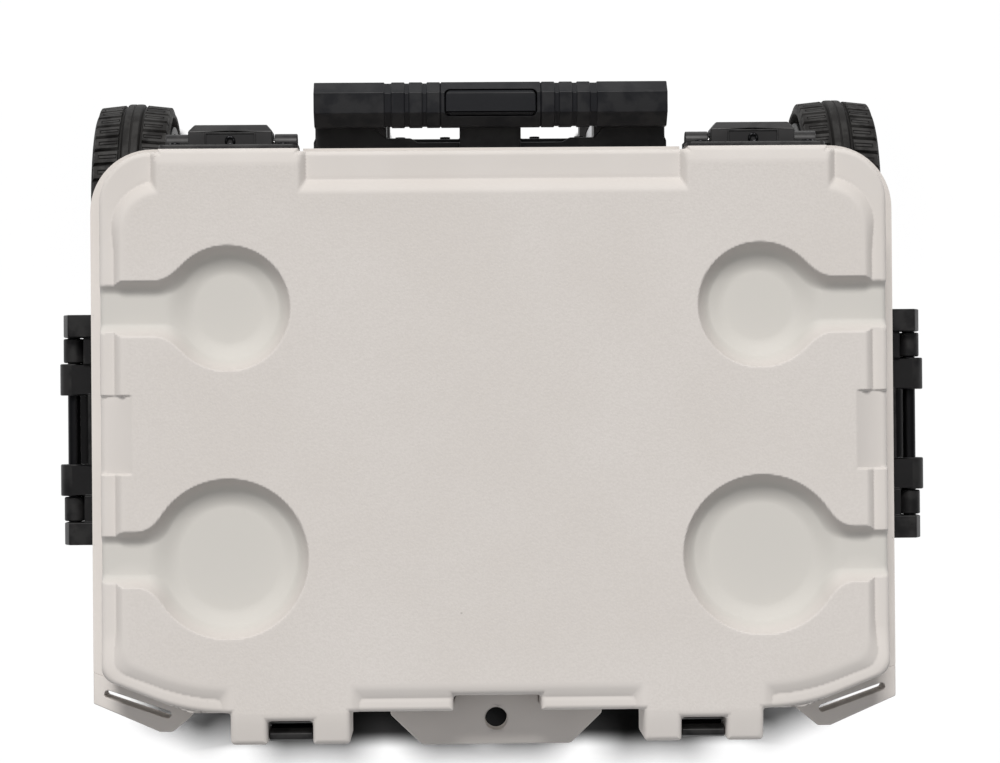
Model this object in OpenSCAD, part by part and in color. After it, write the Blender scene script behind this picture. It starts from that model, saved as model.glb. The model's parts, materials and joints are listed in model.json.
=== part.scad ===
// Wheeled hard cooler: insulated tub, hinged lid with cup holders, two-stage tow handle,
// two wheels on one axle, side bail handles, front latches and a drain.
// Millimetres. X is the width, +Y the rear, +Z up. The origin is under the middle, on the ground.

/* [Tub] */
// Width of the tub over its upper side walls
tub_w = 676; // [668:1:680]
// Depth of the tub wall in front of the origin
tub_front = 247; // [240:1:247]
// Depth of the tub wall behind the origin
tub_rear = 210; // [208:1:210]
// Height of the top of the rim
rim_top = 436; // [432:1:436]
// Thickness of the moulded walls
wall = 4; // [3:0.5:4.5]
// Inside width of the liner at its top
liner_w = 500; // [440:5:510]
// Height of the floor of the liner
liner_floor = 78; // [70:1:90]

/* [Lid] */
// Width of the lid
lid_w = 664; // [656:1:664]
// Height of the top of the lid above the ground
lid_top_z = 510; // [504:1:514]
// Drop from the raised middle of the lid to its border
border_drop = 7; // [4:0.5:8]
// Depth of the cup holders
cup_depth = 21; // [14:1:22]
// Top radius of the two small cup holders
small_cup_r = 52; // [46:1:54]
// Top radius of the two large cup holders
large_cup_r = 66.5; // [60:0.5:68]

/* [Wheels] */
// Radius of a wheel over its tread
wheel_r = 105; // [100:1:105]
// Width of a wheel
wheel_w = 72; // [68:1:74]
// Diameter of the axle
axle_d = 12; // [10:0.5:14]

/* [Tow handle] */
// Width of the tow grip
grip_w = 309; // [300:1:312]
// Distance from the middle to each telescoping tube
tube_x = 115; // [112:1:118]

/* [Side handles] */
// Length of a side handle's base
side_base_l = 200; // [196:2:210]
// Drop from a side handle's pivot to the middle of its grip
bail_drop = 91; // [80:1:95]

/* [Hidden] */
cream = [0.83, 0.81, 0.78];
black = [0.12, 0.12, 0.13];
dark_rubber = [0.09, 0.09, 0.09];
steel = [0.62, 0.63, 0.65];
foam = [0.93, 0.88, 0.66];

fine = 96;       // segments on large round parts
medium = 48;     // segments on small round parts
skin_gap = 0.5;  // gap between the foam and the skins around it
touch_gap = 0.3; // gap between parts that fit in one another

// tub
tub_half = tub_w / 2;
tub_foot = 14;
taper_top = 300;                 // the walls taper below this height
foot_in = [20, 15];               // how far the foot is inside the upper wall, at the sides and front
tub_corner = 50;
rim_half = tub_half + 9;
rim_rear = tub_rear + 11;
rim_front = tub_front + 13;
rim_h = 14;
rim_under = rim_top - rim_h;
ledge_h = 9.5;
ledge_half = 285;
mouth_half = 300;                // opening in the rim that takes the liner's flange
mouth_front = 222;
mouth_rear = 178;
liner_half = liner_w / 2;
liner_front = 178;
liner_rear = 128;
liner_taper = 9;
liner_corner = 34;
flange_h = 4.2;

panel_out = 2.5;
front_panel = [116, [64, 396]];   // half width, and heights
corner_panel = [[232, 292], [64, 396]];
side_panel = [[-112, 58], [64, 326]];
rear_panel = [72, [112, 322]];

// wheel arches and axle
wheel_y = 189;
arch_r = wheel_r + 12;
arch_x = 284;
wheel_in = 303;
wheel_out = wheel_in + wheel_w;
rim_r = wheel_r - 22;
axle_half = 364;

// front corner lugs
lug_low = 404;
lug_cut = [[rim_half, -230], [263, -rim_front]];
slot_ends = [[334.5, -249], [283.4, -267]];
slot_r = 3.2;

// lid
lid_half = lid_w / 2;
lid_low = rim_top + 1;
lid_rear = 213;
lid_front = 259;
lid_corner = 44;
lid_chamfer = [73.5, 29.4];
plateau_half = lid_half - 20;
plateau_rear = 184;
plateau_front = 238;
plateau_corner = 36;
plateau_chamfer = [58, 22];
border_z = lid_top_z - border_drop;
small_cup = [224, 81];
large_cup = [224.5, -129.5];
cup_slope = 9.5;                // how much a cup narrows from top to floor
channel_depth = 13;
flare_reach = [0.6, 15];         // from a share of the cup's radius to a distance past it
flare_half = 40;
channel_half = [22.5, 14];       // half width at the top and at the floor
ramp_y = [-58, 8];
ramp_in = 28;
hinge_block_x = [164, 282];
hinge_block_rear = 215.5;
latch_block_x = [123.5, 224];
latch_block_front = 286;
latch_notch_half = 19;
latch_notch_back = 266;
plate_h = 6;
plug_low = 421;
plug_gap = 7;
pan_wall = 3;

// lock tabs
lock_y = -272;
lock_r = 9.5;
lock_half = [91, 64];
lock_front = [268, 285, 294];
tab_h = 9;
lock_notch_half = 37;
lock_notch_back = 246;

// hinges
hinge_x = 224;
hinge_y = 225.5;
hinge_z = rim_top + 2;
hinge_half = 59;
knuckle_r = 8;
leaf_half = 36;
leaf_y = [217.5, 234, 240];      // front, start of the chamfer and back of the leaf's block
leaf_z = [430, 436, 456, 463];
leaf_corner = 5;                 // chamfer of the block in plan
leaf_screw = 11;
leaf_screw_y = 231;
pin_r = 3.5;
run_gap = 0.05;                  // radial clearance of a running fit
fixed_gap = 0.02;                // radial clearance of a fixed pin

// latches
latch_x = 174;
latch_y = -266;
latch_z = 338;
keeper_y = -271;
keeper_z = 470;
keeper_r = 2.5;
lever_half = 18.3;

// tow handle
tube_y = 261.5;
tube_radii = [[15, 13.35], [13, 11.35], [11, 9.5]];
tube_ends = [[56, 368], [62, 380], [68, 393]];
dock_z = [340, 376];
dock_rear = 235;
dock_half = 156.5;
dock_dip = [72, 64];             // half width of the low middle, at its mouth and at its floor
dock_screws = [40, 80];
socket_x = [92, 155];
socket_rear = 281;
stem_half = 27;
grip_half = grip_w / 2;
grip_z = [384, 402, 420];
grip_outline = [
    [242, 394], [242, 406], [253, 420], [271, 420], [281, 408], [281, 394], [273, 384], [250, 384]
];
ridge_span = 93;
ridge_pitch = 15.5;
ridge_w = 11.4;
button_half = 39.4;
button_y = [251, 273];
yoke_z = 398;
yoke_h = 7;
rod_r = 3;

// side handles
side_y = -21;
side_x = 366;
side_z = 403;
side_base = [338, 346];
side_pin_r = 5.5;
side_knuckle = [30, 57.5];
side_arm = [58.5, 79.5];
side_end = 80.5;
side_eye_r = 9;
side_grip_r = 11;

// drain
drain_y = -140;
drain_z = 92;
drain_r = 14;
drain_bore = 10;
drain_face = 328;

// screws
screw_head_r = 4.5;
screw_head_h = 2.6;
screw_r = 2.2;

// ---- shared shapes

// mirrors its children to the left when side is -1
module on_side(side) {
    if (side < 0) mirror([1, 0, 0]) children();
    else children();
}

module block(x, y, z) {
    translate([x[0], y[0], z[0]]) cube([x[1] - x[0], y[1] - y[0], z[1] - z[0]]);
}

// a cylinder along X from x[0] to x[1], at height z and depth y
module rod_x(x, y, z, r, sides = medium) {
    translate([x[0], y, z]) rotate([0, 90, 0]) cylinder(h = x[1] - x[0], r = r, $fn = sides);
}

// a cylinder along Y from y[0] to y[1]
module rod_y(x, y, z, r, sides = medium) {
    translate([x, y[0], z]) rotate([-90, 0, 0]) cylinder(h = y[1] - y[0], r = r, $fn = sides);
}

module rod_z(x, y, z, r, sides = medium) {
    translate([x, y, z[0]]) cylinder(h = z[1] - z[0], r = r, $fn = sides);
}

// a rectangle with round corners, given by its x and y spans
module round_rect(x, y, r, sides = medium) {
    translate([x[0] + r, y[0]]) square([x[1] - x[0] - 2 * r, y[1] - y[0]]);
    translate([x[0], y[0] + r]) square([x[1] - x[0], y[1] - y[0] - 2 * r]);
    for (cx = [x[0] + r, x[1] - r], cy = [y[0] + r, y[1] - r])
        translate([cx, cy]) circle(r, $fn = sides);
}

module round_block(x, y, z, r, sides = medium) {
    translate([0, 0, z[0]]) linear_extrude(z[1] - z[0]) round_rect(x, y, r, sides);
}

// a screw along -Z, its head's underside at the origin, with a hexagonal socket
module screw(length) {
    difference() {
        union() {
            cylinder(h = screw_head_h, r = screw_head_r, $fn = medium);
            translate([0, 0, -length]) cylinder(h = length + 0.5, r = screw_r, $fn = 24);
        }
        translate([0, 0, 1]) cylinder(h = screw_head_h, r = 2.3, $fn = 6);
    }
}

// ---- tub

// solid between a small foot and a larger top, then straight up to z_top
module tapered_box(half, front, rear, r, z_low, z_top, inset) {
    top_half = half - inset;
    top_y = [-front + inset, rear - inset];
    hull() {
        round_block([-top_half + foot_in[0], top_half - foot_in[0]], [top_y[0] + foot_in[1], top_y[1]],
            [z_low, z_low + 1], r - inset, 32);
        round_block([-top_half, top_half], top_y, [taper_top - 1, taper_top], r - inset, 32);
    }
    round_block([-top_half, top_half], top_y, [taper_top - 1, z_top], r - inset, 32);
}

// outline of the rim, with its front corners cut off for the lugs
module rim_outline() {
    difference() {
        round_rect([-rim_half, rim_half], [-rim_front - 60, rim_rear], tub_corner + 4, fine);
        translate([-400, -rim_front - 100]) square([800, 100]);
        for (s = [-1, 1])
            polygon([[s * rim_half, lug_cut[0][1]], [s * lug_cut[1][0], -rim_front],
                [s * lug_cut[1][0], -400], [s * 500, -400], [s * 500, lug_cut[0][1]]]);
    }
}

module wheel_arch(grow) {
    for (s = [-1, 1]) on_side(s)
        rod_x([arch_x - grow, 420], wheel_y, wheel_r, arch_r + grow, fine);
}

module tub_cavity() {
    difference() {
        tapered_box(tub_half, tub_front, tub_rear, tub_corner, tub_foot + wall, rim_under, wall);
        wheel_arch(wall);
        drain_boss();
    }
}

module drain_boss() {
    rod_x([300, drain_face], drain_y, drain_z, drain_r + 12);
}

module liner_solid(grow, low, high) {
    hull() {
        round_block([-liner_half + liner_taper - grow, liner_half - liner_taper + grow],
            [-liner_front + liner_taper - grow, liner_rear - liner_taper + grow],
            [low, low + 1], liner_corner + grow, 32);
        round_block([-liner_half - grow, liner_half + grow],
            [-liner_front - grow, liner_rear + grow], [high - 1, high], liner_corner + grow, 32);
    }
}

// panels that stand a little proud of the front, side and rear walls
module wall_panels() {
    intersection() {
        tapered_box(tub_half + panel_out, tub_front + panel_out, tub_rear + panel_out,
            tub_corner + panel_out, tub_foot, rim_under, 0);
        union() {
            round_block_y([-front_panel[0], front_panel[0]], [-300, -100], front_panel[1], 14);
            for (s = [-1, 1]) on_side(s) {
                round_block_x([300, 360], side_panel[0], side_panel[1], 14);
                round_block_y(corner_panel[0], [-300, -100], corner_panel[1], 10);
            }
            round_block_y([-rear_panel[0], rear_panel[0]], [150, 240], rear_panel[1], 12);
        }
    }
}

module tub_shell() color(cream) difference() {
    union() {
        wall_panels();
        tapered_box(tub_half, tub_front, tub_rear, tub_corner, tub_foot, rim_top, 0);
        translate([0, 0, rim_under]) linear_extrude(rim_h) rim_outline();
        drain_boss();
    }
    tub_cavity();
    wheel_arch(0);
    round_block([-mouth_half, mouth_half], [-mouth_front, mouth_rear],
        [rim_under + ledge_h, rim_top + 1], liner_corner + 12);
    round_block([-ledge_half, ledge_half], [-mouth_front + 15, mouth_rear - 15],
        [rim_under - 1, rim_top + 1], liner_corner);
    for (s = [-1, 1]) on_side(s) {
        block([hinge_block_x[0] - 1, hinge_block_x[1] + 3], [tub_rear, rim_rear + 5],
            [rim_under - 1, rim_top + 1]);
        rod_x([arch_x - wall - 1, arch_x + 1], wheel_y, wheel_r, axle_d / 2 + touch_gap);
    }
    rod_x([290, drain_face + 1], drain_y, drain_z, drain_r + 0.1);
}

module tub_liner() color(cream) difference() {
    union() {
        liner_solid(wall, liner_floor - wall, rim_top - flange_h);
        round_block([-mouth_half + touch_gap, mouth_half - touch_gap],
            [-mouth_front + touch_gap, mouth_rear - touch_gap],
            [rim_top - flange_h, rim_top], liner_corner + 12 - touch_gap);
    }
    liner_solid(0, liner_floor, rim_top + 1);
    rod_x([liner_half - 40, liner_half + 20], drain_y, drain_z, drain_r + 0.1);
}

module tub_foam() color(foam) difference() {
    tapered_box(tub_half, tub_front, tub_rear, tub_corner, tub_foot + wall + skin_gap,
        rim_under - skin_gap, wall + skin_gap);
    wheel_arch(wall + skin_gap);
    liner_solid(wall + skin_gap, liner_floor - wall - skin_gap, rim_top);
    rod_x([-300, 300], wheel_y, wheel_r, axle_d / 2 + 1);
    rod_x([200, 340], drain_y, drain_z, drain_r + 12 + skin_gap);
}

// strap lug on a front corner of the rim, with a slanted slot through it
module corner_lug(side) color(cream) on_side(side) difference() {
    translate([0, 0, lug_low]) linear_extrude(rim_top - lug_low)
        polygon([lug_cut[0], [rim_half, -257], [290, -282], [279, -282], [263, -269], lug_cut[1]]);
    translate([0, 0, lug_low - 1]) linear_extrude(rim_top - lug_low + 2) slot_outline();
}

// a straight slot with round ends, as one outline
module slot_outline() {
    run = slot_ends[1] - slot_ends[0];
    turn = atan2(run[1], run[0]);
    polygon([
        for (a = [90 : 15 : 270]) slot_ends[0] + slot_r * [cos(turn + a), sin(turn + a)],
        for (a = [-90 : 15 : 90]) slot_ends[1] + slot_r * [cos(turn + a), sin(turn + a)]
    ]);
}

// tab for a padlock; back is where it meets the lid or the tub
module lock_tab(back, z, shrink) difference() {
    translate([0, 0, z[0]]) linear_extrude(z[1] - z[0])
        polygon([
            [-lock_half[0] + shrink, -back], [-lock_half[0] + shrink, -lock_front[0]],
            [-lock_half[1] + shrink, -lock_front[2] + shrink],
            [lock_half[1] - shrink, -lock_front[2] + shrink],
            [lock_half[0] - shrink, -lock_front[0]], [lock_half[0] - shrink, -back]
        ]);
    rod_z(0, lock_y, [z[0] - 1, z[1] + 1], lock_r);
}

module tub_lock_tab() color(cream) lock_tab(rim_front, [rim_under, rim_top], 1.5);

module front_feet() color(dark_rubber)
    for (s = [-1, 1]) translate([s * 262, -176, 0]) {
        cylinder(h = 4, r1 = 20, r2 = 22, $fn = medium);
        translate([0, 0, 4]) cylinder(h = tub_foot - 4, r = 22, $fn = medium);
    }

module axle() color(steel) rod_x([-axle_half, axle_half], wheel_y, wheel_r, axle_d / 2, fine);

module drain_socket() color(black) difference() {
    union() {
        rod_x([241, drain_face], drain_y, drain_z, drain_r);
        rod_x([drain_face, drain_face + 4], drain_y, drain_z, drain_r + 9);
    }
    rod_x([230, drain_face + 5], drain_y, drain_z, drain_bore);
}

module drain_plug() color(black) difference() {
    union() {
        rod_x([drain_face - 14, drain_face + 6], drain_y, drain_z, drain_bore - run_gap);
        rod_x([drain_face + 5.5, drain_face + 15], drain_y, drain_z, drain_r + 4);
    }
    for (a = [0 : 30 : 330])
        translate([drain_face + 10, drain_y, drain_z]) rotate([a, 0, 0]) translate([-6, drain_r + 4, 0])
            rotate([0, 90, 0]) cylinder(h = 12, r = 2, $fn = 24);
}

module drain_washer() color(dark_rubber) difference() {
    rod_x([drain_face + 4, drain_face + 5.5], drain_y, drain_z, drain_r + 2);
    rod_x([drain_face + 3, drain_face + 6], drain_y, drain_z, drain_bore + 0.1);
}

// ---- lid

// an outline with round rear corners and chamfered front corners, taken in by inset
module lid_outline(half, rear, front, r, chamfer, inset) {
    slant = norm(chamfer);
    w = half - inset;
    f = front - inset;
    side_y0 = -front + chamfer[1] + inset * (slant - chamfer[1]) / chamfer[0];
    front_x0 = half - chamfer[0] - inset * (slant - chamfer[0]) / chamfer[1];
    ri = r - inset;
    polygon([
        [-w, rear - r], [-w, side_y0], [-front_x0, -f], [front_x0, -f], [w, side_y0], [w, rear - r]
    ]);
    translate([-w + ri, rear - r - 1]) square([2 * (w - ri), ri + 1]);
    for (s = [-1, 1]) translate([s * (w - ri), rear - r]) circle(ri, $fn = fine);
}

module lid_body(z, inset) {
    translate([0, 0, z[0]]) linear_extrude(z[1] - z[0])
        lid_outline(lid_half, lid_rear, lid_front, lid_corner, lid_chamfer, inset);
}

module lid_plateau(z, inset) {
    translate([0, 0, z[0]]) linear_extrude(z[1] - z[0])
        lid_outline(plateau_half, plateau_rear, plateau_front, plateau_corner, plateau_chamfer, inset);
}

// cup holders and the channels that run from them to the sides, grown by a wall
module cup_cuts(grow) {
    floor_z = lid_top_z - cup_depth;
    for (s = [-1, 1]) on_side(s) {
        for (cup = [[small_cup, small_cup_r], [large_cup, large_cup_r]]) {
            translate([cup[0][0], cup[0][1], floor_z - grow])
                cylinder(h = cup_depth + grow + 0.01, r1 = cup[1] - cup_slope + grow,
                    r2 = cup[1] + grow, $fn = fine);
            channel(cup[0], grow);
        }
        translate([0, ramp_y[0] - grow, 0]) rotate([90, 0, 0]) mirror([0, 0, 1])
            linear_extrude(ramp_y[1] - ramp_y[0] + 2 * grow)
                polygon([[lid_half - ramp_in - grow, lid_top_z + 1],
                    [lid_half - ramp_in - grow, lid_top_z - 1 - grow],
                    [lid_half + 1, border_z - 2 - grow], [lid_half + 1, lid_top_z + 1]]);
    }
}

module channel(cup, grow) {
    low = lid_top_z - channel_depth - grow;
    top = channel_half[0] + grow;
    bottom = channel_half[1] + grow;
    translate([cup[0], cup[1], 0]) rotate([90, 0, 90]) linear_extrude(lid_half + 1 - cup[0])
        polygon([[-bottom, low], [bottom, low], [top, lid_top_z + 0.01], [-top, lid_top_z + 0.01]]);
}

// solid corners where each channel opens into its cup
module flare_blocks(gap) {
    for (s = [-1, 1], cup = [[small_cup, small_cup_r], [large_cup, large_cup_r]]) on_side(s)
        block([cup[0][0] + cup[1] * flare_reach[0] - gap, cup[0][0] + cup[1] + flare_reach[1] + gap],
            [cup[0][1] - flare_half - gap, cup[0][1] + flare_half + gap],
            [lid_top_z - cup_depth - wall - gap, lid_top_z]);
}

module lid_hollow(gap) {
    difference() {
        union() {
            lid_body([lid_low - 1, border_z - wall - gap], wall + gap);
            lid_plateau([border_z - wall - gap - 1, lid_top_z - wall - gap], wall + gap);
        }
        cup_cuts(wall + gap);
        flare_blocks(gap);
        block([-lock_notch_half - wall - gap, lock_notch_half + wall + gap],
            [-lid_front - 1, -lock_notch_back + wall + gap], [lid_low - 2, lid_top_z]);
    }
}

module lid_top() color(cream) difference() {
    union() {
        lid_body([lid_low, border_z], 0);
        lid_plateau([border_z - 1, lid_top_z], 0);
        for (s = [-1, 1]) on_side(s) {
            block(hinge_block_x, [plateau_rear - 2, hinge_block_rear], [lid_low, lid_top_z]);
            round_block(latch_block_x, [-latch_block_front, -plateau_front + 2],
                [lid_low + 10, lid_top_z - 1.5], 6, 32);
        }
    }
    lid_hollow(0);
    cup_cuts(0);
    block([-lock_notch_half, lock_notch_half], [-lid_front - 1, -lock_notch_back],
        [lid_low - 1, lid_top_z + 1]);
    for (s = [-1, 1]) on_side(s) {
        round_block([latch_x - latch_notch_half, latch_x + latch_notch_half],
            [-latch_block_front - 20, -latch_notch_back], [lid_low - 1, lid_top_z + 1], 4, 32);
        rod_x([latch_x - 30, latch_x + 30], keeper_y, keeper_z, keeper_r + fixed_gap);
        rod_y(hinge_x - 46, [200, 220], hinge_z + 34, screw_r + 0.1, 24);
        rod_y(hinge_x + 46, [200, 220], hinge_z + 34, screw_r + 0.1, 24);
    }
}

module lid_foam() color(foam) {
    difference() {
        lid_hollow(skin_gap);
        block([-400, 400], [-400, 400], [lid_low - 2, lid_low + plate_h + skin_gap]);
    }
    plug_block(pan_wall + skin_gap, [plug_low + pan_wall + skin_gap, lid_low + plate_h + 2]);
}

module plug_block(inset, z) {
    half = liner_half - plug_gap - inset;
    round_block([-half, half],
        [-liner_front + plug_gap + inset, liner_rear - plug_gap - inset], z,
        liner_corner - 4 - inset, fine);
}

module lid_liner() color(cream) difference() {
    union() {
        difference() {
            lid_body([lid_low, lid_low + plate_h], wall + touch_gap);
            block([-lock_notch_half - wall - 1, lock_notch_half + wall + 1],
                [-lid_front - 1, -lock_notch_back + wall + 1], [lid_low - 1, lid_low + plate_h + 1]);
        }
        plug_block(0, [plug_low, lid_low + 1]);
    }
    plug_block(pan_wall, [plug_low + pan_wall, lid_low + plate_h + 1]);
    gasket_ring(touch_gap, [lid_low - 1, lid_low + 3]);
}

// seal around the mouth of the tub
module gasket_ring(grow, z) {
    difference() {
        round_block([-liner_half - 16 - grow, liner_half + 16 + grow],
            [-liner_front - 16 - grow, liner_rear + 16 + grow], z, liner_corner + 16 + grow, fine);
        translate([0, 0, -1]) round_block([-liner_half - 8 + grow, liner_half + 8 - grow],
            [-liner_front - 8 + grow, liner_rear + 8 - grow], [z[0], z[1] + 2],
            liner_corner + 8 - grow, fine);
    }
}

module lid_gasket() color(dark_rubber) gasket_ring(0, [rim_top + 0.2, lid_low + 3]);

module lid_lock_tab() color(cream) {
    lock_tab(lid_front, [lid_low, lid_low + tab_h], 0);
    block([-lock_notch_half + touch_gap, lock_notch_half - touch_gap],
        [-lid_front - 1, -lock_notch_back - touch_gap], [lid_low, lid_low + tab_h]);
}

// ---- hinges

module hinge_base(side) color(black) on_side(side) difference() {
    union() {
        round_block_y([hinge_x - hinge_half, hinge_x + hinge_half], [tub_rear, tub_rear + 4],
            [376, 420], 5);
        for (s = [-1, 1]) {
            near = hinge_x + s * (leaf_half + 0.8);
            far = hinge_x + s * (leaf_half + 20.5);
            x = [min(near, far), max(near, far)];
            block(x, [tub_rear, hinge_y], [408, hinge_z - 4]);
            rod_x(x, hinge_y, hinge_z, knuckle_r);
        }
    }
    rod_x([hinge_x - 60, hinge_x + 60], hinge_y, hinge_z, pin_r + fixed_gap);
    for (dx = [-20, 20]) rod_y(hinge_x + dx, [tub_rear - 1, tub_rear + 5], 390, screw_r + 0.1, 24);
}

// a plate that lies in the XZ plane, with round corners
module round_block_y(x, y, z, r) {
    translate([0, y[1], 0]) rotate([90, 0, 0]) linear_extrude(y[1] - y[0]) round_rect(x, z, r, 32);
}

module hinge_leaf(side) color(black) on_side(side) difference() {
    union() {
        round_block_y([hinge_x - hinge_half, hinge_x + hinge_half],
            [hinge_block_rear, hinge_block_rear + 5], [hinge_z + 11, hinge_z + 50], 5);
        intersection() {
            translate([hinge_x - leaf_half, 0, 0]) rotate([90, 0, 90]) linear_extrude(2 * leaf_half)
                polygon([[leaf_y[0], leaf_z[0]], [leaf_y[1], leaf_z[0]], [leaf_y[2], leaf_z[1]],
                    [leaf_y[2], leaf_z[2]], [leaf_y[1], leaf_z[3]], [leaf_y[0], leaf_z[3]]]);
            translate([hinge_x, 0, 400]) linear_extrude(100) leaf_plan();
        }
    }
    rod_x([hinge_x - 60, hinge_x + 60], hinge_y, hinge_z, pin_r + run_gap);
    for (dx = [-46, 46])
        rod_y(hinge_x + dx, [hinge_block_rear - 1, hinge_block_rear + 6], hinge_z + 34, screw_r + 0.1, 24);
    rod_z(hinge_x, leaf_screw_y, [450, 464], screw_r + 0.1, 24);
}

// plan of the leaf's block, with its back corners cut off
module leaf_plan() {
    a = leaf_half - leaf_corner;
    polygon([[-leaf_half, leaf_y[0]], [leaf_half, leaf_y[0]], [leaf_half, leaf_y[1]], [a, leaf_y[2]],
        [-a, leaf_y[2]], [-leaf_half, leaf_y[1]]]);
}

module hinge_pins() color(steel)
    for (s = [-1, 1]) on_side(s)
        rod_x([hinge_x - leaf_half - 20, hinge_x + leaf_half + 20], hinge_y, hinge_z, pin_r);

module hinge_screws() color(steel)
    for (s = [-1, 1], dx = [-20, 20]) on_side(s)
        translate([hinge_x + dx, tub_rear + 4, 390]) rotate([-90, 0, 0]) screw(4);

module leaf_screws() color(steel)
    for (s = [-1, 1]) on_side(s) {
        for (dx = [-46, 46])
            translate([hinge_x + dx, hinge_block_rear + 5, hinge_z + 34]) rotate([-90, 0, 0])
                screw(leaf_screw);
        translate([hinge_x, leaf_screw_y, leaf_z[3]]) screw(leaf_screw);
    }

// ---- latches

module latch_base(side) color(black) on_side(side) difference() {
    union() {
        round_block_y([latch_x - 34, latch_x + 34], [-tub_front - 4, -tub_front], [314, 376], 5);
        for (s = [-1, 1]) {
            x = [min(s * 22, s * 30) + latch_x, max(s * 22, s * 30) + latch_x];
            rod_x(x, latch_y, latch_z, 8);
            block(x, [latch_y, -tub_front - 1], [latch_z - 8, latch_z + 8]);
        }
    }
    rod_x([latch_x - 40, latch_x + 40], latch_y, latch_z, 3 + fixed_gap);
    for (dx = [-16, 16]) rod_y(latch_x + dx, [-tub_front - 5, -tub_front + 1], 364, screw_r + 0.1, 24);
}

module latch_pins() color(steel)
    for (s = [-1, 1]) on_side(s) rod_x([latch_x - 30, latch_x + 30], latch_y, latch_z, 3);

module latch_screws() color(steel)
    for (s = [-1, 1], dx = [-16, 16]) on_side(s)
        translate([latch_x + dx, -tub_front - 4, 364]) rotate([90, 0, 0]) screw(4);

module latch_keepers() color(steel)
    for (s = [-1, 1]) on_side(s) rod_x([latch_x - 29, latch_x + 29], keeper_y, keeper_z, keeper_r);

// the lever runs up from its pivot into the notch of the lid
module latch_lever(side) color(black) on_side(side) difference() {
    union() {
        rod_x([latch_x - 21.6, latch_x + 21.6], latch_y, latch_z, 8);
        translate([latch_x - lever_half, 0, 0]) rotate([90, 0, 90]) linear_extrude(2 * lever_half)
            polygon([
                [-268, 338], [-268, 452], [-277, 460], [-277, 478], [-274.2, 481], [-274.2, 486],
                [-277, 496], [-282, 496], [-284, 492], [-284, 350], [-276, 331]
            ]);
    }
    rod_x([latch_x - 40, latch_x + 40], latch_y, latch_z, 3 + run_gap);
    block([latch_x - 11, latch_x + 11], [-300, -280], [372, 440]);
}

// ---- tow handle

module tow_dock() color(black) difference() {
    union() {
        round_block([-dock_half, dock_half], [tub_rear, dock_rear], dock_z, 4);
        for (s = [-1, 1]) on_side(s) round_block(socket_x, [tub_rear, socket_rear], dock_z, 5);
        round_block([-stem_half, stem_half], [tub_rear, 262], [352, grip_z[0] - 0.5], 4);
    }
    translate([0, 0, dock_z[1] - 10]) linear_extrude(11)
        polygon([[-dock_dip[0], dock_rear + 1], [-dock_dip[1], dock_rear - 4],
            [dock_dip[1], dock_rear - 4], [dock_dip[0], dock_rear + 1]]);
    for (s = [-1, 1]) {
        rod_z(s * tube_x, tube_y, [dock_z[0] - 1, tube_ends[0][1]], tube_radii[0][0] + fixed_gap);
        rod_z(s * tube_x, tube_y, [dock_z[0], dock_z[1] + 1], tube_radii[1][0] + run_gap);
        for (dx = dock_screws) rod_y(s * dx, [tub_rear - 1, dock_rear + 1], 352, screw_r + 0.1, 24);
    }
}

module tow_foot() color(black) difference() {
    union() {
        round_block([-140, 140], [tub_rear, tub_rear + 14], [50, 92], 4);
        for (s = [-1, 1]) on_side(s) round_block([94, 136], [tub_rear, socket_rear], [50, 80], 5);
    }
    for (s = [-1, 1]) {
        rod_z(s * tube_x, tube_y, [tube_ends[0][0], 100], tube_radii[0][0] + fixed_gap);
        rod_y(s * 50, [tub_rear - 1, tub_rear + 15], 71, screw_r + 0.1, 24);
    }
}

module tow_screws() color(steel)
    for (s = [-1, 1]) {
        for (dx = dock_screws) translate([s * dx, dock_rear, 352]) rotate([-90, 0, 0])
            screw(dock_rear - tub_rear);
        translate([s * 50, tub_rear + 14, 71]) rotate([-90, 0, 0]) screw(14);
    }

// one telescoping tube; stage 0 is the fixed outer one
module tube(side, stage) color(steel) difference() {
    union() {
        rod_z(side * tube_x, tube_y, tube_ends[stage], tube_radii[stage][0], fine);
        if (stage == 1)
            rod_z(side * tube_x, tube_y, [dock_z[1] + 0.5, tube_ends[1][1]], 14.5, fine);
    }
    rod_z(side * tube_x, tube_y, [0, 500], tube_radii[stage][1], fine);
}

module grip_bar(x) {
    translate([x[0], 0, 0]) rotate([90, 0, 90]) linear_extrude(x[1] - x[0]) polygon(grip_outline);
}

module grip_core(x) {
    translate([x[0], 0, 0]) rotate([90, 0, 90]) linear_extrude(x[1] - x[0])
        offset(delta = -1) polygon(grip_outline);
}

// the whole grip: plain ends, and ridges in the middle
module grip_solid() {
    for (s = [-1, 1]) on_side(s) {
        grip_bar([ridge_span, grip_half]);
        for (x = [button_half + 5 : ridge_pitch : ridge_span - ridge_w]) grip_bar([x, x + ridge_w]);
    }
    grip_core([-ridge_span, ridge_span]);
    grip_bar([-button_half - 4, button_half + 4]);
}

module grip_hollow() {
    block([-130, 130], [254, 269], [389, 412]);
    round_block([-button_half - 0.9, button_half + 0.9], [button_y[0] - 0.9, button_y[1] + 0.9],
        [402, 421], 5);
    block([-button_half - 3, button_half + 3], [251, 272], [400, 412]);
}

module grip_cover() color(black) difference() {
    grip_solid();
    block([-200, 200], [200, 300], [grip_z[0] - 1, grip_z[1]]);
    grip_hollow();
}

module grip_body() color(black) difference() {
    grip_solid();
    block([-200, 200], [200, 300], [grip_z[1], grip_z[2] + 1]);
    grip_hollow();
    for (s = [-1, 1])
        rod_z(s * tube_x, tube_y, [grip_z[0] - 1, tube_ends[2][1]], tube_radii[2][0] + fixed_gap, fine);
}

module tow_button() color(black) {
    intersection() {
        grip_core([-button_half, button_half]);
        round_block([-button_half, button_half], button_y, [406, 420], 4);
    }
    block([-122, 122], [258, 265], [yoke_z, yoke_z + yoke_h]);
    block([-24, 24], [258, 265], [yoke_z + yoke_h - 1, 407]);
}

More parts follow.
